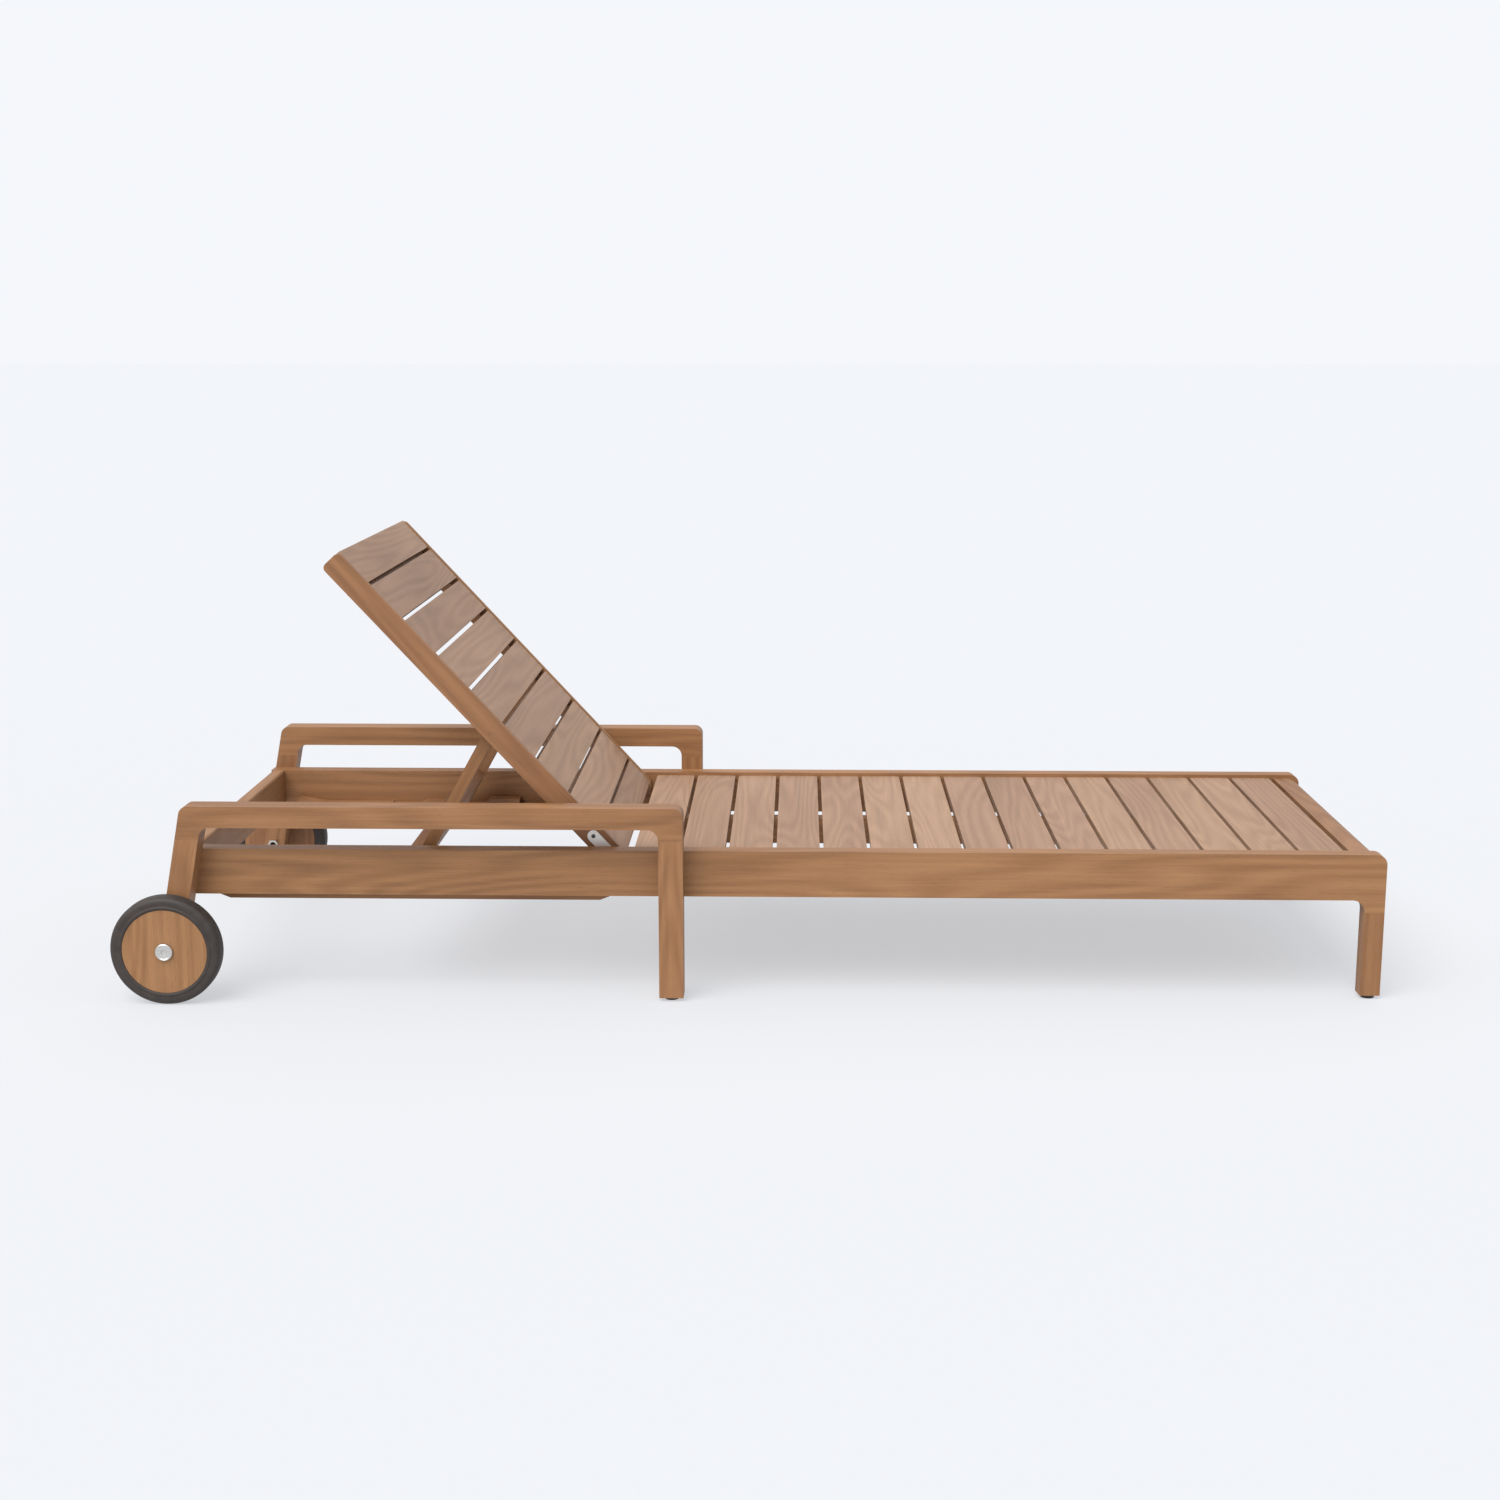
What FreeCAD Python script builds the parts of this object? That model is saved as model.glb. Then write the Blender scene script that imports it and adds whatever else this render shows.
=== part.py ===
"""Reclining sun lounger in solid timber: fixed bed frame, hinged backrest, prop and two wheels.

Frame: X runs along the bed with the foot end at +X, Y runs across it, Z is up.
The origin is on the floor at the middle of the lounger's box.  Units are millimetres and degrees.
"""
import FreeCAD, Part
import os
import re
import Sketcher

SIZES = {
    # overall
    "half_width": 370,          # middle of the bed to the outer face of an armrest
    "foot_end": 1045,           # outer face of the foot-end legs
    "head_end": -945,           # cut end of the side rails
    # side rails and foot-end legs
    "rail_thick": 30,
    "rail_bottom": 169,
    "rail_top": 246,
    "rail_foot_round": 17,
    "rail_inner_round": 20,
    "rail_stub": 21,            # how far the rail's corner runs down into the leg joint
    "front_leg_wide": 33,
    "glide_high": 6,
    "glide_across": 22,
    # armrests and the legs under them
    "arm_deep": 40,
    "arm_top": 326,
    "arm_thick": 35.5,
    "arm_stub": 20,
    "arm_outer_round": 15,
    "arm_inner_round": 18,
    "mid_leg_foot_side": -107,
    "mid_leg_wide": 40,
    "rear_leg_wide": 39,
    "rear_leg_lean": 11,
    "rear_leg_below": 30,
    "rear_leg_round": 17,
    # seat
    "slat_space": 7,            # open gap between two slats
    "slat_thick": 11.5,
    "slat_top": 240,
    "slat_round": 7,
    "slat_gap": 0.5,
    "seat_start": -192,
    "seat_spare": 2,            # extra gap between the last slat and the foot board
    "cleat_wide": 20,
    "cleat_high": 20,
    "bearer_wide": 32,
    "bearer_high": 45,
    "crossrail_wide": 42,
    "crossrail_high": 55,
    "footboard_thick": 48,
    "footboard_setback": 2,
    "footboard_high": 66,
    "footboard_round": 22,
    "headboard_thick": 24,
    "headboard_setback": 2,
    "headboard_high": 62,
    "headboard_round": 4,
    # backrest, in its own frame: x is 0 at the hinge and negative towards the head
    "hinge_x": -221,
    "hinge_z": 222,
    "recline": 47.3,
    "back_side_gap": 3,         # between the backrest and each side rail
    "back_length": 680,
    "back_tail": 15,
    "back_rail_thick": 26,
    "back_rail_half": 19,
    "back_tail_round": 14,
    "back_top_round": 9,
    "back_lip": 9,
    "back_slat_sunk": 2,
    "back_slat_thick": 15,
    "back_first_gap": 56,
    "back_top_board": 71,       # from the middle of the highest gap to the top end
    "back_slat_low": -4,
    "back_crossrail_wide": 42,
    "back_crossrail_thick": 20,
    "back_lower_rail_at": 30,
    "strap_thick": 2,
    "strap_wide": 20,
    "strap_reach": 66,
    "strap_screw_across": 7,
    "strap_screw_proud": 0.8,
    "strap_screw_long": 16,
    "hinge_pin_across": 8,
    "hinge_pin_reach": 8,
    "hinge_bore_spare": 0.5,
    "hinge_pin_cover": 8,       # timber left outside the blind end of the pin
    "pin_clearance": 0.08,
    # prop, in its own frame: x is 0 at its pivot and negative towards its foot
    "pivot_reach": 297,
    "pivot_drop": 9,
    "foot_rest_x": -580.4,      # middle of the foot bar as it stands
    "foot_rest_z": 204.6,
    "prop_leg_thick": 20,
    "prop_leg_deep": 30,
    "prop_leg_gap": 2,
    "prop_foot_thick": 20,
    "prop_foot_end_gap": 4,
    "prop_dowel_across": 12,
    "prop_brace_wide": 50,
    "prop_brace_thick": 16,
    "prop_brace_at": 225,
    "pivot_across": 8,
    # notched racks
    "rack_deep": 28,
    "rack_bottom": 154,
    "rack_head_end": -890,
    "rack_foot_end": -229,
    "rack_end_long": 20,
    "rack_end_high": 8,
    "rack_tooth_top": 197,
    "rack_tooth_drop": 5,
    "rack_floor": 185,
    "rack_first_wall": -458,
    "rack_notch_pitch": 124,
    "rack_tooth_long": 56,
    "rack_shoulder": 15,
    "rack_rise_start": -835,
    "rack_rise": 9,
    # wheels
    "wheel_x": -954,
    "wheel_outer": 91,
    "wheel_disc": 70,
    "wheel_gap": 3,
    "disc_thick": 32,
    "tyre_thick": 36,
    "tyre_round": 8,
    "axle_across": 12,
    "axle_head_across": 29,
    "axle_head_thick": 5,
    "axle_head_round": 3,
    "axle_head_gap": 0.6,
    "nut_across": 21,
    "nut_thick": 10,
}

SEAT_SLATS = 15
BACK_SLATS = 9
NOTCHES = 3

doc = FreeCAD.newDocument("sun_lounger")
sheet = doc.addObject("Spreadsheet::Sheet", "Sizes")
for row, (alias, number) in enumerate(SIZES.items(), start=1):
    sheet.set(f"A{row}", alias)
    sheet.set(f"B{row}", str(number))
    sheet.setAlias(f"B{row}", alias)
doc.recompute()

nodes = []

# Places that several pieces share, written in the words of the sheet.
RAIL_OUT = "(half_width - arm_deep)"
RAIL_IN = "(half_width - arm_deep - rail_thick)"
PIN_END = "(half_width - arm_deep - hinge_pin_cover)"
SLAT_UNDER = "(slat_top - slat_thick)"
ARM_UNDER = "(arm_top - arm_thick)"
ARM_JOINT = "(arm_top - arm_thick - arm_stub)"
RAIL_JOINT = "(rail_bottom - rail_stub)"
FOOTBOARD_IN = "(foot_end - footboard_setback - footboard_thick)"
HEADBOARD_OUT = "(head_end + headboard_setback)"
SLOPE = "tan(rear_leg_lean)"
SEAT_PITCH = f"(({FOOTBOARD_IN} - seat_start - seat_spare) / {SEAT_SLATS})"
BACK_PITCH = f"((back_length - back_first_gap - back_top_board) / {BACK_SLATS - 2})"
BACK_HALF = f"({RAIL_IN} - back_side_gap)"
BACK_RAIL_IN = f"({BACK_HALF} - back_rail_thick)"
BACK_SLAT_TOP = "(back_rail_half - back_slat_sunk)"
BACK_SLAT_UNDER = "(back_rail_half - back_slat_sunk - back_slat_thick)"
BACK_SLAT_END = f"({BACK_HALF} - back_lip - slat_gap)"
PROP_LEG_OUT = f"({BACK_RAIL_IN} - prop_leg_gap)"
PROP_LEG_IN = f"({PROP_LEG_OUT} - prop_leg_deep)"
TYRE_IN = "(half_width + wheel_gap)"
DISC_IN = "(half_width + wheel_gap + (tyre_thick - disc_thick) / 2)"
DISC_OUT = "(half_width + wheel_gap + (tyre_thick + disc_thick) / 2)"

BACK_FRAME = "placement(vector(hinge_x; 0; hinge_z); rotation(vector(0; 1; 0); recline))"
PIVOT_X = "(hinge_x - pivot_reach * cos(recline) - pivot_drop * sin(recline))"
PIVOT_Z = "(hinge_z + pivot_reach * sin(recline) - pivot_drop * cos(recline))"
FOOT_OFFSET = "((prop_leg_thick + prop_foot_thick) / 2)"
FOOT_SLANT = f"hypot({PIVOT_X} - foot_rest_x; {PIVOT_Z} - foot_rest_z)"
PROP_REACH = f"cath({FOOT_SLANT}; {FOOT_OFFSET})"
FOOT_BEARING = f"atan2({PIVOT_Z} - foot_rest_z; {PIVOT_X} - foot_rest_x)"
PROP_LEAN = f"({FOOT_BEARING} + asin({FOOT_OFFSET} / {FOOT_SLANT}))"
PROP_FRAME = f"placement(vector({PIVOT_X}; 0; {PIVOT_Z}); rotation(vector(0; 1; 0); -{PROP_LEAN}))"


def sized(text):
    """Turn the sheet's plain words in an expression into references to its cells."""
    return re.sub(r"[a-z_]+", lambda word: f"Sizes.{word[0]}" if word[0] in SIZES else word[0], text)


def origin_plane(body, role):
    """The body's own XY, XZ or YZ plane."""
    return next(feature for feature in body.Origin.OriginFeatures if feature.Role == f"{role}_Plane")


def new_body(label, frame=None):
    """An empty body, placed in the bed's frame or in a moving part's frame."""
    body = doc.addObject("PartDesign::Body", label)
    body.Label = label
    if frame:
        body.setExpression("Placement", sized(frame))
    return body


def keep(piece):
    """List a finished sub-part for export."""
    nodes.append(piece)
    return piece


def pin_vertex(sketch, index, across, along):
    """Tie the start of one edge of the outline to two expressions."""
    start = sketch.Geometry[index].StartPoint
    for kind, letter, value, text in (("DistanceX", "a", start.x, across), ("DistanceY", "b", start.y, along)):
        constraint = sketch.addConstraint(Sketcher.Constraint(kind, -1, 1, index, 1, value))
        sketch.renameConstraint(constraint, f"{letter}{index}")
        sketch.setExpression(f"Constraints.{letter}{index}", sized(text))


def outline(body, plane, points, offset):
    """A closed polygon on one of the body's planes; every corner is a pair of expressions."""
    sketch = body.newObject("Sketcher::SketchObject", f"{body.Name}_outline")
    sketch.AttachmentSupport = [(origin_plane(body, plane), "")]
    sketch.MapMode = "FlatFace"
    sketch.setExpression("AttachmentOffset.Base.z", sized(offset))
    count = len(points)
    turn = FreeCAD.Rotation(FreeCAD.Vector(0, 0, 1), 360 / count)
    corners = [FreeCAD.Vector(10, 0, 0)]
    for _ in range(count - 1):
        corners.append(turn.multVec(corners[-1]))
    for index, corner in enumerate(corners):
        sketch.addGeometry(Part.LineSegment(corner, corners[(index + 1) % count]))
    for index in range(count):
        sketch.addConstraint(Sketcher.Constraint("Coincident", index, 2, (index + 1) % count, 1))
    for index, (across, along) in enumerate(points):
        pin_vertex(sketch, index, across, along)
    return sketch


def corner_edges(pad, sketch, corners):
    """Names of the pad's edges that stand on the given corners of its outline."""
    names = []
    place = sketch.Placement
    normal = place.Rotation.multVec(FreeCAD.Vector(0, 0, 1))
    spots = [place.multVec(sketch.Geometry[index].StartPoint) for index in corners]
    for number, edge in enumerate(pad.Shape.Edges, start=1):
        ends = [vertex.Point for vertex in edge.Vertexes]
        if len(ends) != 2 or abs((ends[1] - ends[0]).normalize().dot(normal)) < 0.999:
            continue
        middle = (ends[0] + ends[1]) * 0.5
        if any((middle - spot).cross(normal).Length < 0.01 for spot in spots):
            names.append(f"Edge{number}")
    return names


def rim_edges(feature, keep_edge):
    """Names of a feature's circular edges that a test accepts."""
    names = []
    for number, edge in enumerate(feature.Shape.Edges, start=1):
        if isinstance(edge.Curve, Part.Circle) and keep_edge(edge):
            names.append(f"Edge{number}")
    return names


def round_off(body, base, edges, radius):
    """Fillet the named edges of the body's last feature."""
    fillet = body.newObject("PartDesign::Fillet", f"{body.Name}_round")
    fillet.Base = (base, edges)
    fillet.setExpression("Radius", sized(radius))
    doc.recompute()
    return fillet


def timber(label, plane, points, low, high, rounds=(), frame=None):
    """A straight piece: an outline on a plane, padded from one side to the other.

    rounds lists (radius, corners) pairs for the outline's corners.
    """
    body = new_body(label, frame)
    backwards = plane == "XZ"
    sketch = outline(body, plane, points, f"-({high})" if backwards else low)
    pad = body.newObject("PartDesign::Pad", f"{body.Name}_pad")
    pad.Profile = sketch
    pad.setExpression("Length", sized(f"({high}) - ({low})"))
    doc.recompute()
    sketch.Visibility = False
    last = pad
    for radius, corners in rounds:
        last = round_off(body, last, corner_edges(last, sketch, corners), radius)
    return body


def across_y(x, y, z):
    """Placement of a cylinder whose axis runs along +Y from the given point."""
    return f"placement(vector({x}; {y}; {z}); rotation(vector(1; 0; 0); -90))"


def drum(body, kind, radius, x, low, z, high):
    """Add or take away a cylinder that lies along Y, from low to high."""
    cylinder = body.newObject(f"PartDesign::{kind}Cylinder", f"{body.Name}_{kind.lower()}")
    cylinder.setExpression("Radius", sized(radius))
    cylinder.setExpression("Height", sized(f"({high}) - ({low})"))
    cylinder.setExpression("Placement", sized(across_y(x, low, z)))
    doc.recompute()
    return cylinder


def bore(body, radius, x, low, z, high):
    """Drill a hole along Y and check that it really removed material."""
    before = body.Shape.Volume
    drum(body, "Subtractive", radius, x, low, z, high)
    if body.Shape.Volume >= before - 1:
        raise RuntimeError(f"the hole in {body.Label} misses it")


def group(label, members):
    """One node that holds identical pieces as separate solids."""
    compound = doc.addObject("Part::Compound", label)
    compound.Label = label
    compound.Links = members
    return keep(compound)


def span(side, inner, outer):
    """The low and high Y of a piece on the left (+Y) or on the right (-Y) side."""
    return (inner, outer) if side == "left" else (f"-{outer}", f"-{inner}")


def rect(left, right, bottom, top):
    """Corners of a rectangle, anticlockwise from the lower left."""
    return [(left, bottom), (right, bottom), (right, top), (left, top)]


def make_side_rail(side):
    """Side rail whose foot end turns down to meet the leg."""
    inner_leg = "foot_end - front_leg_wide"
    points = [("head_end", "rail_bottom"), (inner_leg, "rail_bottom"), (inner_leg, RAIL_JOINT),
              ("foot_end", RAIL_JOINT), ("foot_end", "rail_top"), ("head_end", "rail_top")]
    low, high = span(side, RAIL_IN, RAIL_OUT)
    rounds = [("rail_foot_round", [4]), ("rail_inner_round", [1])]
    body = timber(f"side_rail_{side}", "XZ", points, low, high, rounds)
    low, high = span(side, RAIL_IN, PIN_END)
    bore(body, "hinge_pin_across / 2", "hinge_x", low, "hinge_z", high)
    return keep(body)


def make_front_leg(side):
    """Foot-end leg, flush with the side rail above it."""
    low, high = span(side, RAIL_IN, RAIL_OUT)
    points = rect("foot_end - front_leg_wide", "foot_end", "glide_high", RAIL_JOINT)
    return keep(timber(f"front_leg_{side}", "XZ", points, low, high))


def leg_edge(offset, height):
    """X of the leaning rear leg's edge at a height."""
    return f"wheel_x + {offset} + ({height} - wheel_outer) * {SLOPE}"


def make_armrest(side):
    """Armrest with both ends turned down onto the legs."""
    half = "rear_leg_wide / 2"
    leg_side = "mid_leg_foot_side - mid_leg_wide"
    points = [(leg_edge(f"-{half}", ARM_JOINT), ARM_JOINT), (leg_edge(half, ARM_JOINT), ARM_JOINT),
              (leg_edge(half, ARM_UNDER), ARM_UNDER), (leg_side, ARM_UNDER), (leg_side, ARM_JOINT),
              ("mid_leg_foot_side", ARM_JOINT), ("mid_leg_foot_side", "arm_top"),
              (leg_edge(f"-{half}", "arm_top"), "arm_top")]
    low, high = span(side, RAIL_OUT, "half_width")
    rounds = [("arm_outer_round", [6, 7]), ("arm_inner_round", [2, 3])]
    return keep(timber(f"armrest_{side}", "XZ", points, low, high, rounds))


def make_mid_leg(side):
    """Upright leg under the foot end of the armrest, on the outside of the side rail."""
    low, high = span(side, RAIL_OUT, "half_width")
    points = rect("mid_leg_foot_side - mid_leg_wide", "mid_leg_foot_side", "glide_high", ARM_JOINT)
    return keep(timber(f"mid_leg_{side}", "XZ", points, low, high))


def make_rear_leg(side):
    """Leaning leg that carries the wheel."""
    half = "rear_leg_wide / 2"
    bottom = "wheel_outer - rear_leg_below"
    low, high = span(side, RAIL_OUT, "half_width")
    points = [(leg_edge(f"-{half}", f"({bottom})"), bottom), (leg_edge(half, f"({bottom})"), bottom),
              (leg_edge(half, ARM_JOINT), ARM_JOINT), (leg_edge(f"-{half}", ARM_JOINT), ARM_JOINT)]
    body = timber(f"rear_leg_{side}", "XZ", points, low, high, [("rear_leg_round", [0, 1])])
    bore(body, "axle_across / 2", "wheel_x", low, "wheel_outer", high)
    return keep(body)


def make_cross_pieces():
    """The boards and the bearer that tie the bed frame together between the side rails."""
    keep(timber("head_crossboard", "XZ",
                rect(HEADBOARD_OUT, f"{HEADBOARD_OUT} + headboard_thick", "rail_top - headboard_high", "rail_top"),
                f"-{RAIL_IN}", RAIL_IN, [("headboard_round", [2, 3])]))
    keep(timber("foot_crossboard", "XZ",
                rect(FOOTBOARD_IN, "foot_end - footboard_setback", "slat_top - footboard_high", "slat_top"),
                f"-{RAIL_IN}", RAIL_IN, [("footboard_round", [2])]))
    keep(timber("hinge_crossrail", "XZ",
                rect("seat_start", "seat_start + crossrail_wide", f"{SLAT_UNDER} - crossrail_high", SLAT_UNDER),
                f"-{RAIL_IN}", RAIL_IN))
    keep(timber("centre_bearer", "XZ",
                rect("seat_start + crossrail_wide", FOOTBOARD_IN, f"{SLAT_UNDER} - bearer_high", SLAT_UNDER),
                "-bearer_wide / 2", "bearer_wide / 2"))


def make_cleats():
    """The two strips inside the side rails that the seat slats rest on."""
    cleats = []
    for side in ("left", "right"):
        low, high = span(side, f"({RAIL_IN} - cleat_wide)", RAIL_IN)
        points = rect("seat_start + crossrail_wide", FOOTBOARD_IN, f"{SLAT_UNDER} - cleat_high", SLAT_UNDER)
        cleats.append(timber(f"cleat_{side}", "XZ", points, low, high))
    group("slat_cleats", cleats)


def make_seat_slats():
    """The seat's slats, one by one from the hinge to the foot."""
    for number in range(SEAT_SLATS):
        start = f"seat_start + {SEAT_PITCH} * {number}"
        points = rect(start, f"{start} + {SEAT_PITCH} - slat_space", f"-({RAIL_IN} - slat_gap)", f"{RAIL_IN} - slat_gap")
        keep(timber(f"seat_slat_{number + 1:02d}", "XY", points, SLAT_UNDER, "slat_top",
                    [("slat_round", [0, 1, 2, 3])]))


def make_rack(side):
    """Notched rack inside the side rail; each notch has its steep wall on the head side."""
    points = [("rack_head_end", "rack_bottom + rack_end_high"), ("rack_head_end + rack_end_long", "rack_bottom"),
              ("rack_foot_end - rack_end_long", "rack_bottom"), ("rack_foot_end", "rack_bottom + rack_end_high"),
              ("rack_foot_end", "rack_floor")]
    shoulders = []
    for notch in range(NOTCHES):
        wall = f"rack_first_wall - rack_notch_pitch * {notch}"
        top = f"rack_tooth_top - rack_tooth_drop * {notch}"
        points += [(wall, "rack_floor"), (wall, top)]
        if notch < NOTCHES - 1:
            shoulder = f"{wall} - rack_tooth_long"
            points += [(shoulder, top), (f"{shoulder} - rack_shoulder", "rack_floor")]
            shoulders.append(len(points) - 2)
    last_top = f"rack_tooth_top - rack_tooth_drop * {NOTCHES - 1}"
    points += [("rack_rise_start", last_top), ("rack_head_end", f"{last_top} + rack_rise")]
    low, high = span(side, f"({RAIL_IN} - rack_deep)", RAIL_IN)
    return keep(timber(f"notch_rack_{side}", "XZ", points, low, high, [("rack_shoulder / 2", shoulders)]))


def make_floor_glides():
    """Round glides under the four legs that stand on the floor."""
    glides = []
    spots = (("mid", "mid_leg_foot_side - mid_leg_wide / 2", "half_width - arm_deep / 2"),
             ("front", "foot_end - front_leg_wide / 2", f"{RAIL_OUT} - rail_thick / 2"))
    for name, x, y in spots:
        for side, sign in (("left", ""), ("right", "-")):
            glide = doc.addObject("Part::Cylinder", f"glide_{name}_{side}")
            glide.setExpression("Radius", sized("glide_across / 2"))
            glide.setExpression("Height", sized("glide_high"))
            glide.setExpression("Placement.Base.x", sized(x))
            glide.setExpression("Placement.Base.y", sized(f"{sign}({y})"))
            glides.append(glide)
    group("foot_glides", glides)


def make_wheel(side):
    """Wooden disc and rubber tyre that turn together on the axle bolt."""
    low, high = span(side, DISC_IN, DISC_OUT)
    disc = new_body(f"wheel_disc_{side}")
    drum(disc, "Additive", "wheel_disc", "wheel_x", low, "wheel_outer", high)
    bore(disc, "axle_across / 2 + pin_clearance", "wheel_x", low, "wheel_outer", high)
    keep(disc)
    low, high = span(side, TYRE_IN, f"({TYRE_IN} + tyre_thick)")
    tyre = new_body(f"wheel_tyre_{side}")
    ring = drum(tyre, "Additive", "wheel_outer", "wheel_x", low, "wheel_outer", high)
    round_off(tyre, ring, rim_edges(ring, lambda edge: True), "tyre_round")
    bore(tyre, "wheel_disc", "wheel_x", low, "wheel_outer", high)
    keep(tyre)


def make_axles():
    """Axle bolts with domed heads outside the wheels, and their nuts inside the rear legs."""
    axles = []
    nuts = []
    for side in ("left", "right"):
        head_in = f"({DISC_OUT} + axle_head_gap)"
        low, high = span(side, f"({RAIL_OUT} - nut_thick)", head_in)
        axle = new_body(f"wheel_axle_{side}")
        drum(axle, "Additive", "axle_across / 2", "wheel_x", low, "wheel_outer", high)
        low, high = span(side, head_in, f"({head_in} + axle_head_thick)")
        head = drum(axle, "Additive", "axle_head_across / 2", "wheel_x", low, "wheel_outer", high)
        rims = rim_edges(head, lambda edge: edge.Curve.Radius * 2 > SIZES["axle_across"] * 1.5)
        outermost = max(abs(head.Shape.Edges[int(name[4:]) - 1].CenterOfMass.y) for name in rims)
        outer = [name for name in rims
                 if abs(abs(head.Shape.Edges[int(name[4:]) - 1].CenterOfMass.y) - outermost) < 0.01]
        round_off(axle, head, outer, "axle_head_round")
        axles.append(axle)
        low, high = span(side, f"({RAIL_OUT} - nut_thick)", RAIL_OUT)
        points = [(f"wheel_x + nut_across / 2 * cos({60 * turn})", f"wheel_outer + nut_across / 2 * sin({60 * turn})")
                  for turn in range(6)]
        nut = timber(f"axle_hex_{side}", "XZ", points, low, high)
        bore(nut, "axle_across / 2", "wheel_x", low, "wheel_outer", high)
        nuts.append(nut)
    group("wheel_axles", axles)
    group("axle_nuts", nuts)


def make_hinge_pins():
    """Pins fixed in the side rails that the backrest turns on."""
    pins = []
    for side in ("left", "right"):
        low, high = span(side, f"({BACK_HALF} - hinge_pin_reach)", PIN_END)
        pin = new_body(f"hinge_pin_{side}")
        drum(pin, "Additive", "hinge_pin_across / 2", "hinge_x", low, "hinge_z", high)
        pins.append(pin)
    group("hinge_pins", pins)


def make_back_rail(side):
    """Backrest side rail, rebated so that an outer lip covers the slat ends."""
    low, high = span(side, BACK_RAIL_IN, BACK_HALF)
    points = rect("-back_length", "back_tail", "-back_rail_half", "back_rail_half")
    rounds = [("back_tail_round", [1, 2]), ("back_top_round", [0, 3])]
    body = timber(f"back_rail_{side}", "XZ", points, low, high, rounds, frame=BACK_FRAME)
    before = body.Shape.Volume
    inner, outer = span(side, BACK_RAIL_IN, f"({BACK_HALF} - back_lip)")
    rebate = body.newObject("PartDesign::SubtractiveBox", f"rebate_{side}")
    rebate.setExpression("Length", sized("back_length + back_tail - back_slat_low"))
    rebate.setExpression("Width", sized(f"({outer}) - ({inner})"))
    rebate.setExpression("Height", sized("back_rail_half * 2"))
    rebate.setExpression("Placement", sized(f"placement(vector(-back_length - back_tail; {inner}; {BACK_SLAT_UNDER}); "
                                            "rotation(vector(0; 1; 0); 0))"))
    doc.recompute()
    if body.Shape.Volume >= before:
        raise RuntimeError("the rebate misses the backrest rail")
    bore(body, "pivot_across / 2", "-pivot_reach", low, "-pivot_drop", high)
    low, high = span(side, f"({BACK_HALF} - hinge_pin_reach - hinge_bore_spare)", BACK_HALF)
    bore(body, "hinge_pin_across / 2 + pin_clearance", "0", low, "0", high)
    return keep(body)


def make_back_crossrails():
    """Rails that tie the two backrest side rails together under the slats."""
    top_gap = "(back_length - back_top_board)"
    for name, middle in (("back_top_crossrail", top_gap), ("back_lower_crossrail", "back_lower_rail_at")):
        points = rect(f"-{middle} - back_crossrail_wide / 2", f"-{middle} + back_crossrail_wide / 2",
                      f"{BACK_SLAT_UNDER} - back_crossrail_thick", BACK_SLAT_UNDER)
        keep(timber(name, "XZ", points, f"-{BACK_RAIL_IN}", BACK_RAIL_IN, frame=BACK_FRAME))


def make_back_slats():
    """The backrest's slats, one by one from the top down to the hinge."""
    for number in range(BACK_SLATS):
        from_hinge = BACK_SLATS - 1 - number
        upper = f"(back_first_gap + {BACK_PITCH} * {from_hinge} - slat_space / 2)"
        lower = f"(back_first_gap + {BACK_PITCH} * {from_hinge - 1} + slat_space / 2)"
        if number == 0:
            upper = "back_length"
        if from_hinge == 0:
            lower = "back_slat_low"
        points = rect(f"-{upper}", f"-({lower})", f"-{BACK_SLAT_END}", BACK_SLAT_END)
        keep(timber(f"back_slat_{number + 1:02d}", "XY", points, BACK_SLAT_UNDER, BACK_SLAT_TOP,
                    [("slat_round / 2", [0, 1, 2, 3])], frame=BACK_FRAME))


def make_straps():
    """Steel hinge straps on the outer faces of the backrest rails, and their screws."""
    straps = []
    screws = []
    for side in ("left", "right"):
        low, high = span(side, BACK_HALF, f"({BACK_HALF} + strap_thick)")
        half = "strap_wide / 2"
        points = rect("-strap_reach", half, f"-{half}", half)
        strap = timber(f"strap_{side}", "XZ", points, low, high, [(f"{half} - 0.01", [0, 1, 2, 3])], frame=BACK_FRAME)
        bore(strap, "hinge_pin_across / 2 + pin_clearance", "0", low, "0", high)
        screw_at = f"-strap_reach + {half}"
        bore(strap, "strap_screw_across / 2", screw_at, low, "0", high)
        straps.append(strap)
        low, high = span(side, f"({BACK_HALF} - strap_screw_long)",
                         f"({BACK_HALF} + strap_thick + strap_screw_proud)")
        screw = new_body(f"strap_screw_{side}", BACK_FRAME)
        drum(screw, "Additive", "strap_screw_across / 2", screw_at, low, "0", high)
        screws.append(screw)
        rail = doc.getObject(f"back_rail_{side}")
        low, high = span(side, f"({BACK_HALF} - strap_screw_long)", BACK_HALF)
        bore(rail, "strap_screw_across / 2", screw_at, low, "0", high)
    group("hinge_straps", straps)
    group("strap_screws", screws)


def make_pivot_dowels():
    """Dowels fixed in the backrest rails that the prop swings on."""
    dowels = []
    for side in ("left", "right"):
        low, high = span(side, PROP_LEG_IN, BACK_HALF)
        dowel = new_body(f"pivot_dowel_{side}", BACK_FRAME)
        drum(dowel, "Additive", "pivot_across / 2", "-pivot_reach", low, "-pivot_drop", high)
        dowels.append(dowel)
    group("pivot_dowels", dowels)


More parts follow.
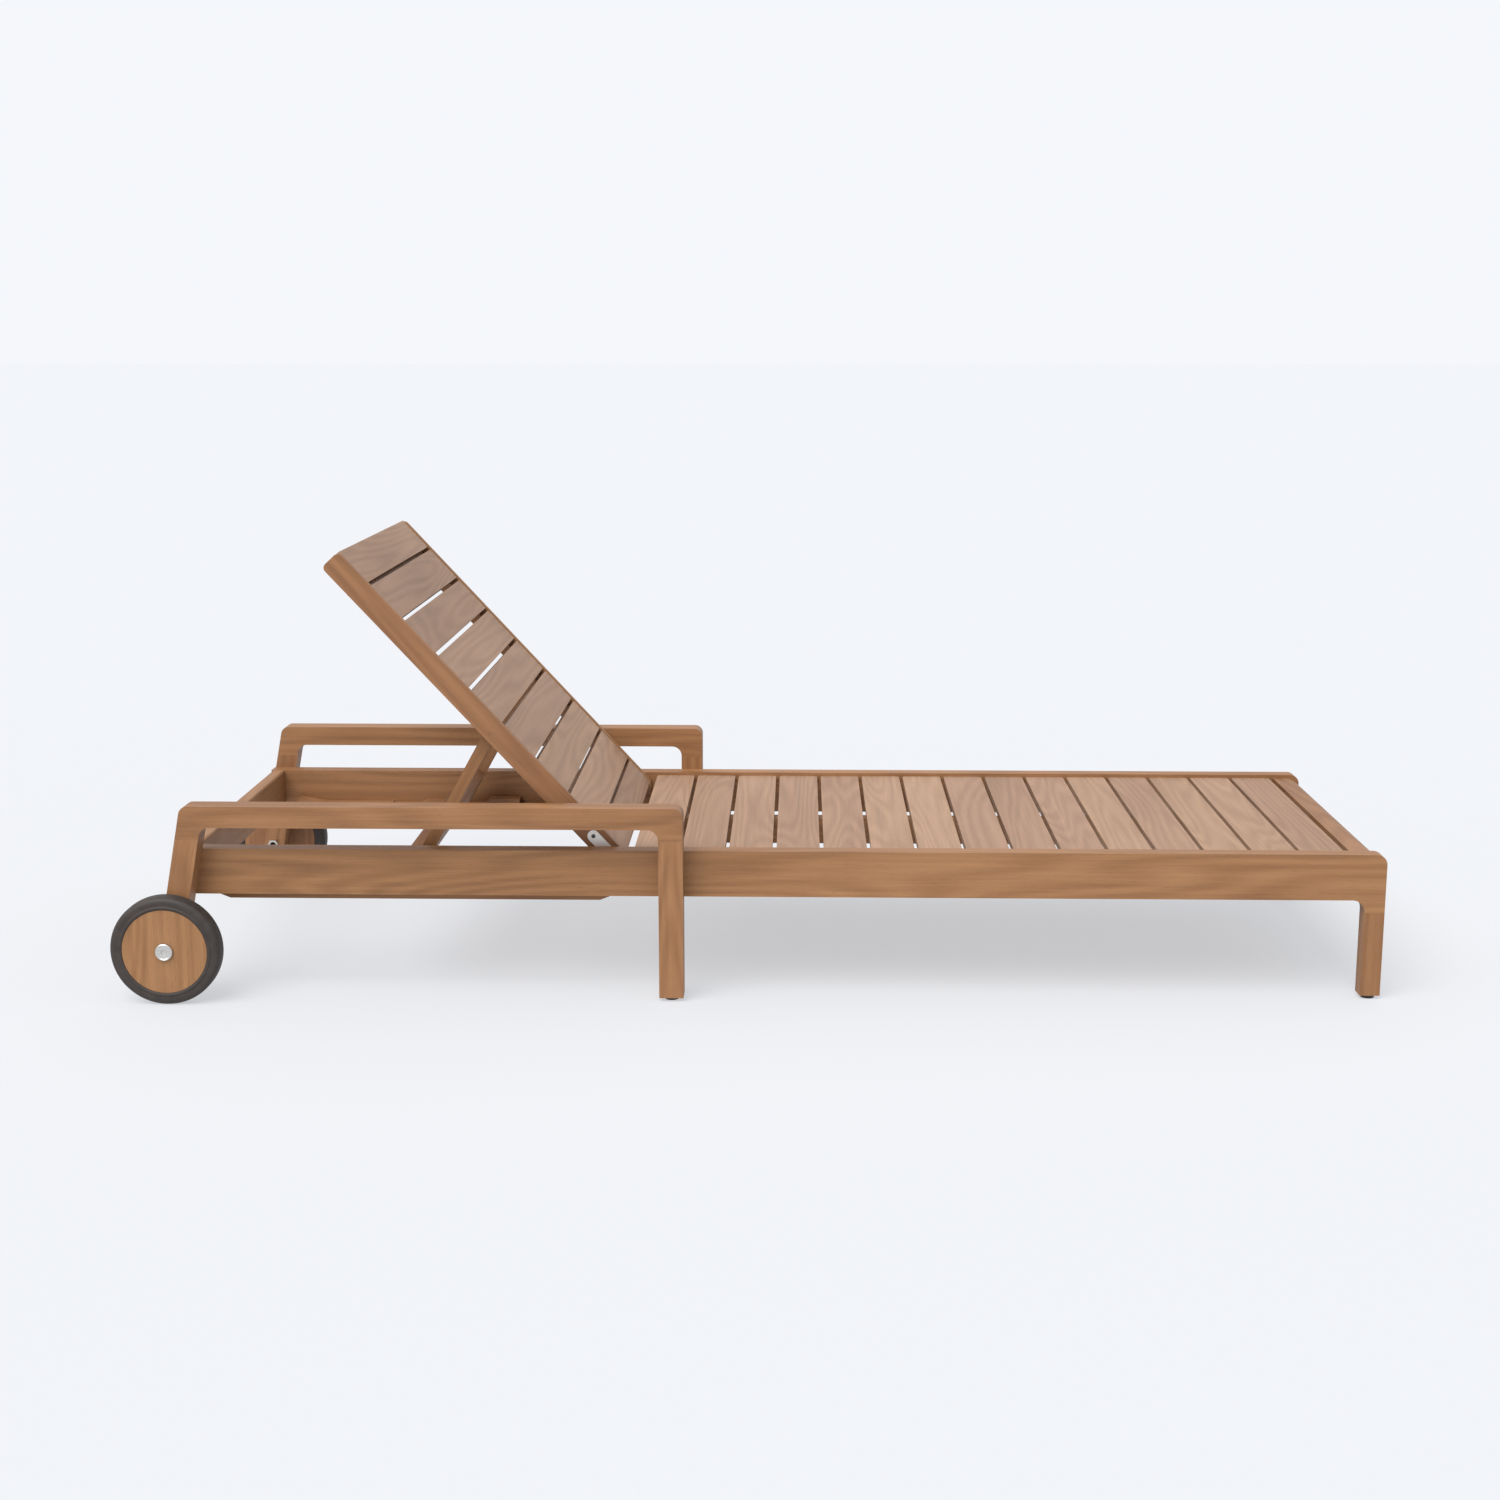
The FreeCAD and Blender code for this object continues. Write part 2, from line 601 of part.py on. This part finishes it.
def make_prop():
    """The prop: two legs, a brace, and a square foot bar with turned ends that rest in the notches."""
    half = "prop_leg_thick / 2"
    end = f"({PROP_REACH} + prop_foot_thick / 2)"
    for side in ("left", "right"):
        low, high = span(side, PROP_LEG_IN, PROP_LEG_OUT)
        points = rect(f"-{end}", half, f"-{half}", half)
        leg = timber(f"prop_leg_{side}", "XZ", points, low, high, [(f"{half} - 0.5", [1, 2])], frame=PROP_FRAME)
        bore(leg, "pivot_across / 2 + pin_clearance", "0", low, "0", high)
        keep(leg)
    points = rect(f"-{end}", f"-{end} + prop_foot_thick", half, f"{half} + prop_foot_thick")
    bar = timber("prop_foot_bar", "XZ", points, f"-{PROP_LEG_OUT}", PROP_LEG_OUT, frame=PROP_FRAME)
    reach = f"({RAIL_IN} - prop_foot_end_gap)"
    drum(bar, "Additive", "prop_dowel_across / 2", f"-{PROP_REACH}", f"-{reach}", FOOT_OFFSET, reach)
    keep(bar)
    points = rect("-prop_brace_at - prop_brace_wide / 2", "-prop_brace_at + prop_brace_wide / 2",
                  f"-{half}", f"-{half} + prop_brace_thick")
    keep(timber("prop_brace", "XZ", points, f"-{PROP_LEG_IN}", PROP_LEG_IN, frame=PROP_FRAME))


for side in ("left", "right"):
    make_side_rail(side)
    make_front_leg(side)
    make_armrest(side)
    make_mid_leg(side)
    make_rear_leg(side)
make_cross_pieces()
make_cleats()
make_seat_slats()
for side in ("left", "right"):
    make_rack(side)
make_floor_glides()
for side in ("left", "right"):
    make_wheel(side)
make_axles()
make_hinge_pins()
for side in ("left", "right"):
    make_back_rail(side)
make_back_crossrails()
make_back_slats()
make_straps()
make_pivot_dowels()
make_prop()

doc.recompute()
for item in doc.Objects:
    if "Invalid" in item.State or "Error" in item.State:
        raise RuntimeError(f"{item.Label} did not recompute: {item.State}")
for node in nodes:
    if node.Shape.isNull() or not node.Shape.isValid():
        raise RuntimeError(f"{node.Label} has no valid shape")

os.makedirs("parts", exist_ok=True)
for node in nodes:
    node.Shape.exportStep(f"parts/{node.Label}.step")
print(f"{len(nodes)} nodes written")
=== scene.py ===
import math

import bmesh
import bpy
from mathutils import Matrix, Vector


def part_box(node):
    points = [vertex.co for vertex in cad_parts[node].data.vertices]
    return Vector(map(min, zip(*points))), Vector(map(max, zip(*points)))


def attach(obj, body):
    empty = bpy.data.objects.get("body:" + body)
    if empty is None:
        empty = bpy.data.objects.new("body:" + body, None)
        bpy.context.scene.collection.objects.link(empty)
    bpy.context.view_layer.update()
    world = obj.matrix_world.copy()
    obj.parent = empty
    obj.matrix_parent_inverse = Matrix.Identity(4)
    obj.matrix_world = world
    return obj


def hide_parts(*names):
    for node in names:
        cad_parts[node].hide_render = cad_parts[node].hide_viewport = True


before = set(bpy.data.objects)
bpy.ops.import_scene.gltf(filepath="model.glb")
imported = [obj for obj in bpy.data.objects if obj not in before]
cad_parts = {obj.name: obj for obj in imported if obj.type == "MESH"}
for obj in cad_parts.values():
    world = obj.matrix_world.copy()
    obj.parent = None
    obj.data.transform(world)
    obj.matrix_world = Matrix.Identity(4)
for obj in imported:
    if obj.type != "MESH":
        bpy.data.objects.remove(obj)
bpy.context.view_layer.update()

# Angles that the grain follows, in degrees.
REAR_LEG_LEAN = 11.0
RECLINE = 47.3
PROP_LEAN = 60.77

# Widths of the bevels, in metres.
SLAT_ARRIS = 0.0022
FRAME_ARRIS = 0.0014
STRAP_ARRIS = 0.0004

MM = 1000               # millimetres in a metre; the turned shapes are written in millimetres
SEGMENTS = 96           # sides of a turned shape
ARRIS_SEGMENTS = 3
SHOULDER_STEPS = 8      # steps round the tyre's shoulder
SHARP_ANGLE = 32.0      # degrees; a sharper edge of a new piece is shaded as a crease
ARRIS_ANGLE = 35.0      # degrees; a sharper edge of a CAD piece is bevelled

# Colours, linear.
FRAME_DARK = (0.150, 0.062, 0.022)
FRAME_LIGHT = (0.335, 0.165, 0.072)
# The slats are the same teak as the frame, but their tones are paler and pinker: painted sheen and light on
# their tops.
SLAT_SHEEN_DARK = (0.200, 0.112, 0.064)
SLAT_SHEEN_LIGHT = (0.385, 0.235, 0.150)
RUBBER_DARK = (0.022, 0.016, 0.013)
RUBBER_LIGHT = (0.040, 0.030, 0.025)
CAP_STEEL = (0.62, 0.61, 0.59)
STRAP_STEEL = (0.66, 0.63, 0.60)
SCREW_STEEL = (0.10, 0.095, 0.09)
GLIDE_BLACK = (0.012, 0.012, 0.012)
PAPER = (0.913, 0.930, 0.965)

# Grain: how often each pattern repeats per metre, along the grain and then across it.
RING_SCALE = (1.1, 11.0, 11.0)
FIBRE_SCALE = (9.0, 520.0, 520.0)
STREAK_SCALE = (2.2, 95.0, 95.0)
CLOUD_SCALE = (1.6, 5.0, 5.0)
PORE_SCALE = (55.0, 1300.0, 1300.0)
RING_COUNT = 88.0
PIECE_OFFSET = (37.1, 11.3, 23.7)   # how far the pattern moves from one piece to the next

# Studio: the backdrop's brightness, the lamp, and the floor's share of reflected light.
SKY = 1.0
SUN_STRENGTH = 3.0
SUN_ANGLE = 50.0
SUN_FROM = Vector((-0.45, -0.75, 1.15))
SUN_COLOUR = (1.0, 0.985, 0.96)
FLOOR_REFLECT = 0.26
FLOOR_REACH = 60.0

# Camera, in metres, millimetres and degrees.
CAMERA_PLACE = (0.0805, -3.710, 1.093)
CAMERA_DOWN = 11.315
CAMERA_TURN = 1.333
LENS = 50.78
SENSOR = 36.0

SIDES = (("left", 1), ("right", -1))


class Graph:
    """A short way to write a node tree."""

    def __init__(self, name):
        self.material = bpy.data.materials.new(name)
        self.material.use_nodes = True
        self.tree = self.material.node_tree
        self.tree.nodes.clear()

    def node(self, kind, inputs=None, **settings):
        item = self.tree.nodes.new(kind)
        for key, value in settings.items():
            setattr(item, key, value)
        for key, value in (inputs or {}).items():
            self.feed(item.inputs[key], value)
        return item

    def feed(self, socket, value):
        if isinstance(value, bpy.types.NodeSocket):
            self.tree.links.new(value, socket)
        else:
            socket.default_value = value

    def maths(self, operation, first, second=0.0):
        item = self.node("ShaderNodeMath", {0: first, 1: second}, operation=operation)
        return item.outputs[0]

    def vector(self, operation, first, second=(0.0, 0.0, 0.0)):
        item = self.node("ShaderNodeVectorMath", {0: first, 1: second}, operation=operation)
        return item.outputs["Value" if operation == "DOT_PRODUCT" else "Vector"]

    def noise(self, place, scale, detail=2.0, roughness=0.5):
        stretched = self.vector("MULTIPLY", place, scale)
        inputs = {"Vector": stretched, "Scale": 1.0, "Detail": detail, "Roughness": roughness}
        return self.node("ShaderNodeTexNoise", inputs).outputs["Fac"]

    def remap(self, value, low, high, to_low=0.0, to_high=1.0):
        inputs = {"Value": value, "From Min": low, "From Max": high, "To Min": to_low, "To Max": to_high}
        return self.node("ShaderNodeMapRange", inputs).outputs["Result"]

    def mix(self, factor, first, second):
        """Colours share their names with the node's other types, so its sockets go by number."""
        item = self.node("ShaderNodeMix", {0: factor, 6: first, 7: second}, data_type="RGBA")
        return item.outputs[2]

    def finish(self, shader):
        output = self.node("ShaderNodeOutputMaterial")
        self.tree.links.new(shader, output.inputs["Surface"])
        return self.material


def opaque(colour, scale=1.0):
    """A colour as four numbers, made brighter or darker."""
    return tuple(part * scale for part in colour) + (1.0,)


def teak(name, dark, light, turn, grain_axis, rings=1.0, rough=0.52):
    """Oiled timber whose grain runs along one direction; turn brings that direction to X."""
    graph = Graph(name)
    coordinates = graph.node("ShaderNodeTexCoord")
    piece = graph.node("ShaderNodeObjectInfo").outputs["Random"]
    turned = graph.node("ShaderNodeMapping", {"Vector": coordinates.outputs["Object"], "Rotation": turn})
    shared = graph.node("ShaderNodeCombineXYZ", {0: piece, 1: piece, 2: piece}).outputs[0]
    offset = graph.vector("MULTIPLY", shared, PIECE_OFFSET)
    place = graph.vector("ADD", turned.outputs["Vector"], offset)

    # Growth rings: contour lines of a noise that is stretched along the grain.
    swell = graph.noise(place, RING_SCALE, 1.0, 0.35)
    waves = graph.maths("SINE", graph.maths("MULTIPLY", swell, RING_COUNT * rings))
    ring = graph.remap(waves, -1.0, 1.0)
    fibre = graph.noise(place, FIBRE_SCALE, 3.0, 0.55)
    streak = graph.noise(place, STREAK_SCALE, 3.0, 0.6)
    cloud = graph.noise(place, CLOUD_SCALE, 2.0, 0.5)
    pores = graph.remap(graph.noise(place, PORE_SCALE, 1.0, 0.5), 0.62, 0.74)

    tone = graph.maths("MULTIPLY", ring, 0.16)
    for pattern, weight in ((fibre, 0.34), (streak, 0.52), (cloud, 0.55)):
        tone = graph.maths("ADD", tone, graph.maths("MULTIPLY", pattern, weight))
    tone = graph.remap(tone, 0.42, 1.12)
    colour = graph.mix(tone, opaque(dark), opaque(light))
    colour = graph.mix(graph.maths("MULTIPLY", pores, 0.28), colour, opaque(dark, 0.55))

    # End grain is darker, and no two pieces are quite the same.
    facing = graph.maths("ABSOLUTE", graph.vector("DOT_PRODUCT", coordinates.outputs["Normal"], grain_axis))
    colour = graph.mix(graph.remap(facing, 0.8, 0.97, 0.0, 0.35), colour, opaque(dark, 0.8))
    value = graph.remap(piece, 0.0, 1.0, 0.93, 1.08)
    hue = graph.node("ShaderNodeHueSaturation", {
        "Hue": graph.remap(piece, 0.0, 1.0, 0.497, 0.503), "Saturation": 1.0, "Value": value, "Fac": 1.0,
        "Color": colour})
    height = graph.maths("ADD", graph.maths("MULTIPLY", fibre, 0.6), graph.maths("MULTIPLY", streak, 0.5))
    height = graph.maths("SUBTRACT", height, graph.maths("MULTIPLY", pores, 0.5))
    bump = graph.node("ShaderNodeBump", {"Strength": 0.35, "Distance": 0.0006, "Height": height})
    shader = graph.node("ShaderNodeBsdfPrincipled", {
        "Base Color": hue.outputs["Color"],
        "Roughness": graph.remap(streak, 0.2, 0.8, rough - 0.06, rough + 0.08),
        "Specular IOR Level": 0.38, "Normal": bump.outputs["Normal"]})
    return graph.finish(shader.outputs["BSDF"])


def rubber(name):
    """Matt rubber with a little dust on it."""
    graph = Graph(name)
    place = graph.node("ShaderNodeTexCoord").outputs["Object"]
    dust = graph.noise(place, (60.0, 60.0, 60.0), 4.0, 0.6)
    grain = graph.noise(place, (900.0, 900.0, 900.0), 2.0, 0.6)
    colour = graph.mix(graph.remap(dust, 0.35, 0.7), opaque(RUBBER_DARK), opaque(RUBBER_LIGHT))
    bump = graph.node("ShaderNodeBump", {"Strength": 0.3, "Distance": 0.0003, "Height": grain})
    shader = graph.node("ShaderNodeBsdfPrincipled", {
        "Base Color": colour, "Roughness": graph.remap(dust, 0.3, 0.7, 0.55, 0.7),
        "Normal": bump.outputs["Normal"]})
    return graph.finish(shader.outputs["BSDF"])


def metal(name, colour, rough):
    """Brushed metal with faint smudges."""
    graph = Graph(name)
    place = graph.node("ShaderNodeTexCoord").outputs["Object"]
    brushed = graph.noise(place, (180.0, 900.0, 900.0), 2.0, 0.5)
    smudge = graph.noise(place, (90.0, 90.0, 90.0), 3.0, 0.5)
    roughness = graph.maths("ADD", graph.remap(brushed, 0.3, 0.7, rough - 0.06, rough + 0.06),
                            graph.remap(smudge, 0.4, 0.7, 0.0, 0.1))
    bump = graph.node("ShaderNodeBump", {"Strength": 0.12, "Distance": 0.0002, "Height": brushed})
    shader = graph.node("ShaderNodeBsdfPrincipled", {
        "Base Color": opaque(colour), "Metallic": 1.0, "Roughness": roughness,
        "Normal": bump.outputs["Normal"]})
    return graph.finish(shader.outputs["BSDF"])


def plain(name, colour, rough):
    """Plastic of one colour."""
    graph = Graph(name)
    place = graph.node("ShaderNodeTexCoord").outputs["Object"]
    speck = graph.noise(place, (400.0, 400.0, 400.0), 2.0, 0.5)
    shader = graph.node("ShaderNodeBsdfPrincipled", {
        "Base Color": opaque(colour), "Roughness": graph.remap(speck, 0.3, 0.7, rough - 0.05, rough + 0.05)})
    return graph.finish(shader.outputs["BSDF"])


def leaning(degrees):
    """Turn and direction of a grain that rises by an angle from +X in the XZ plane."""
    angle = math.radians(degrees)
    return (0.0, angle, 0.0), (math.cos(angle), 0.0, math.sin(angle))


GRAIN = {
    "along": ((0.0, 0.0, 0.0), (1.0, 0.0, 0.0)),
    "across": ((0.0, 0.0, -math.pi / 2), (0.0, 1.0, 0.0)),
    "upright": leaning(90.0),
    "rear_leg": leaning(90.0 - REAR_LEG_LEAN),
    "back": leaning(180.0 - RECLINE),
    "prop": leaning(180.0 + PROP_LEAN),
}
timbers = {}
for name, grain in GRAIN.items():
    timbers[name] = teak(f"teak_{name}", FRAME_DARK, FRAME_LIGHT, *grain)
# Painted sheen: the slats get paler tones that stand in for the light falling on their tops.
sheen_lit_slat_wood = teak("teak_slats_painted_sheen", SLAT_SHEEN_DARK, SLAT_SHEEN_LIGHT, *GRAIN["across"], rings=1.25, rough=0.58)
tyre_rubber = rubber("tyre_rubber")
bright_steel = metal("bright_steel", CAP_STEEL, 0.28)
strap_steel = metal("strap_steel", STRAP_STEEL, 0.42)
dark_steel = metal("dark_steel", SCREW_STEEL, 0.45)
black_plastic = plain("black_plastic", GLIDE_BLACK, 0.5)

# Which way the grain of each CAD piece runs, by the start of its name.
WOOD_OF = (
    ("side_rail", "along"), ("armrest", "along"), ("notch_rack", "along"), ("centre_bearer", "along"),
    ("slat_cleats", "along"), ("mid_leg", "upright"), ("front_leg", "upright"), ("wheel_disc", "upright"),
    ("rear_leg", "rear_leg"), ("back_rail", "back"), ("prop_leg", "prop"), ("head_crossboard", "across"),
    ("foot_crossboard", "across"), ("hinge_crossrail", "across"), ("back_top_crossrail", "across"),
    ("back_lower_crossrail", "across"), ("prop_foot_bar", "across"), ("prop_brace", "across"),
    ("pivot_dowels", "across"),
)


def paint(thing, material):
    """Give a CAD piece its one material."""
    thing.data.materials.clear()
    thing.data.materials.append(material)


def soften(thing, width):
    """Break the sharp edges of a piece."""
    bevel = thing.modifiers.new("arris", "BEVEL")
    bevel.width = width
    bevel.segments = ARRIS_SEGMENTS
    bevel.limit_method = "ANGLE"
    bevel.angle_limit = math.radians(ARRIS_ANGLE)
    bevel.harden_normals = True
    bevel.use_clamp_overlap = True


for name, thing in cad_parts.items():
    wood = next((grain for start, grain in WOOD_OF if name.startswith(start)), None)
    if name.startswith(("seat_slat", "back_slat")):
        paint(thing, sheen_lit_slat_wood)
        soften(thing, SLAT_ARRIS)
    elif wood:
        paint(thing, timbers[wood])
        soften(thing, FRAME_ARRIS)
    elif name == "foot_glides":
        paint(thing, black_plastic)
    elif name == "hinge_straps":
        paint(thing, strap_steel)
        soften(thing, STRAP_ARRIS)
    elif name.startswith("wheel_tyre"):
        paint(thing, tyre_rubber)
    else:
        paint(thing, bright_steel)


def piece(name, points, faces, material, body, finish):
    """A new mesh that belongs to the lounger and rides on one of its bodies."""
    mesh = bpy.data.meshes.new(name)
    mesh.from_pydata([tuple(point) for point in points], [], faces)
    shape = bmesh.new()
    shape.from_mesh(mesh)
    bmesh.ops.recalc_face_normals(shape, faces=shape.faces)
    for face in shape.faces:
        face.smooth = True
    for edge in shape.edges:
        if len(edge.link_faces) == 2 and edge.calc_face_angle() > math.radians(SHARP_ANGLE):
            edge.smooth = False
    shape.to_mesh(mesh)
    shape.free()
    thing = bpy.data.objects.new(name, mesh)
    bpy.context.scene.collection.objects.link(thing)
    mesh.materials.append(material)
    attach(thing, body)
    return thing


def turned(centre, side, rings):
    """Points and faces of a shape turned about a line along Y. Its first and last rings stay open.

    Each ring is (radius, height): radius is a number or a function of the angle, and
    height is measured outwards from the centre's Y. side is +1 on the left, -1 on the right.
    """
    points = []
    for radius, height in rings:
        for step in range(SEGMENTS):
            angle = 2 * math.pi * step / SEGMENTS
            reach = radius(angle) if callable(radius) else radius
            points.append(centre + Vector((reach * math.cos(angle), side * height, reach * math.sin(angle))))
    faces = []
    for ring in range(len(rings) - 1):
        for step in range(SEGMENTS):
            near = ring * SEGMENTS
            following = (step + 1) % SEGMENTS
            faces.append((near + step, near + following, near + SEGMENTS + following, near + SEGMENTS + step))
    return points, faces


def hexagon(flat):
    """Radius of a hexagon with the given half width across its flats, as a function of the angle."""
    def radius(angle):
        return flat / math.cos((angle + math.pi / 6) % (math.pi / 3) - math.pi / 6)
    return radius


def middle(node):
    """The middle, the lowest corner and the highest corner of a CAD node's box."""
    low, high = (Vector(corner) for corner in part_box(node))
    return (low + high) / 2, low, high


def in_metres(profile):
    """The same list of (radius, height) rings, in metres instead of millimetres."""
    return [(radius if callable(radius) else radius / MM, height / MM) for radius, height in profile]


def make_tyre(side_name, side):
    """Solid tyre with a rounded tread, a moulding line and a bead against the disc."""
    node = f"wheel_tyre_{side_name}"
    centre, low, high = middle(node)
    outer = (high.z - low.z) / 2 * MM
    half = (high.y - low.y) / 2 * MM
    inner = 70.0
    shoulder = 9.0
    flank_in = half - 1.2
    edge = []
    for step in range(SHOULDER_STEPS + 1):
        angle = math.pi / 2 * step / SHOULDER_STEPS
        edge.append((outer - shoulder + shoulder * math.sin(angle),
                     flank_in - shoulder + shoulder * math.cos(angle)))
    flank = [(inner, half - 3.2), (inner + 0.6, half - 1.4), (inner + 2.2, half - 0.4), (inner + 4.2, half),
             (inner + 5.6, half - 0.5), (inner + 6.4, flank_in), (outer - 10.5, flank_in)]
    tread = [(outer, half - 12), (outer - 0.5, half - 12.5), (outer - 0.5, half - 13.5), (outer, half - 14)]
    top = flank + edge + tread
    profile = top + [(radius, -height) for radius, height in reversed(top)] + [top[0]]
    points, faces = turned(centre, side, in_metres(profile))
    tyre = piece(f"tyre_{side_name}", points, faces, tyre_rubber, f"wheel_{side_name}", "tyre_rubber")
    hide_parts(node)


def make_axle_caps():
    """Axle bolts with a bright rim, a flat face and a hexagonal socket."""
    _, _, high = middle("wheel_axles")
    points = []
    faces = []
    for side_name, side in SIDES:
        wheel = middle(f"wheel_disc_{side_name}")[0]
        face = Vector((wheel.x, side * high.y, wheel.z))
        rings = [(6.0, -82), (6.0, -5.0), (14.5, -5.0), (14.5, -1.9), (14.1, -0.9), (13.3, -0.2), (12.5, 0),
                 (11.7, -0.3), (11.2, -0.9), (10.9, -1.0), (hexagon(0.0046), -1.0), (hexagon(0.0042), -1.4),
                 (hexagon(0.0042), -3.8), (0.05, -4.4)]
        some, quads = turned(face, side, in_metres(rings))
        faces += [tuple(index + len(points) for index in quad) for quad in quads]
        points += some
    caps = piece("axle_caps", points, faces, bright_steel, "bed_frame", "steel")
    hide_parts("wheel_axles")


def make_strap_screws():
    """Round screw heads that hold the hinge straps."""
    centre, _, high = middle("strap_screws")
    points = []
    faces = []
    for _, side in SIDES:
        seat = Vector((centre.x, side * high.y, centre.z))
        rings = [(3.4, -17.0), (3.4, -0.9), (3.3, -0.4), (2.7, -0.05), (1.9, 0.0), (hexagon(0.0015), -0.1),
                 (hexagon(0.0013), -1.0), (0.02, -1.1)]
        some, quads = turned(seat, side, in_metres(rings))
        faces += [tuple(index + len(points) for index in quad) for quad in quads]
        points += some
    screws = piece("strap_screw_heads", points, faces, dark_steel, "backrest", "steel")
    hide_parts("strap_screws")


for side_name, side in SIDES:
    make_tyre(side_name, side)
make_axle_caps()
make_strap_screws()


def make_floor():
    """A pale sheet that carries on past the picture and takes a soft shadow."""
    mesh = bpy.data.meshes.new("floor")
    corners = [(x * FLOOR_REACH, y * FLOOR_REACH, 0.0) for x, y in ((-1, -1), (1, -1), (1, 1), (-1, 1))]
    mesh.from_pydata(corners, [], [(0, 1, 2, 3)])
    floor = bpy.data.objects.new("floor", mesh)
    bpy.context.scene.collection.objects.link(floor)
    # Its own light and its share of the lamp's add up to the backdrop's brightness.
    lamp_on_floor = SUN_STRENGTH * SUN_FROM.normalized().z / math.pi
    own_light = SKY - FLOOR_REFLECT * (SKY + lamp_on_floor)
    graph = Graph("paper")
    diffuse = graph.node("ShaderNodeBsdfDiffuse", {"Color": opaque(PAPER, FLOOR_REFLECT), "Roughness": 0.0})
    glow = graph.node("ShaderNodeEmission", {"Color": opaque(PAPER), "Strength": own_light})
    both = graph.node("ShaderNodeAddShader", {0: diffuse.outputs[0], 1: glow.outputs[0]})
    mesh.materials.append(graph.finish(both.outputs[0]))


make_floor()

world = bpy.data.worlds.new("studio")
world.use_nodes = True
backdrop = world.node_tree.nodes["Background"]
backdrop.inputs["Color"].default_value = opaque(PAPER)
backdrop.inputs["Strength"].default_value = SKY
bpy.context.scene.world = world

lamp = bpy.data.lights.new("key", "SUN")
lamp.energy = SUN_STRENGTH
lamp.angle = math.radians(SUN_ANGLE)
lamp.color = SUN_COLOUR
key = bpy.data.objects.new("key", lamp)
key.rotation_euler = SUN_FROM.to_track_quat("Z", "Y").to_euler()
bpy.context.scene.collection.objects.link(key)

lens = bpy.data.cameras.new("camera")
lens.lens = LENS
lens.sensor_width = SENSOR
camera = bpy.data.objects.new("camera", lens)
camera.location = CAMERA_PLACE
camera.rotation_euler = (math.radians(90 - CAMERA_DOWN), 0.0, math.radians(CAMERA_TURN))
bpy.context.scene.collection.objects.link(camera)
bpy.context.scene.camera = camera
bpy.context.scene.view_settings.view_transform = "Standard"
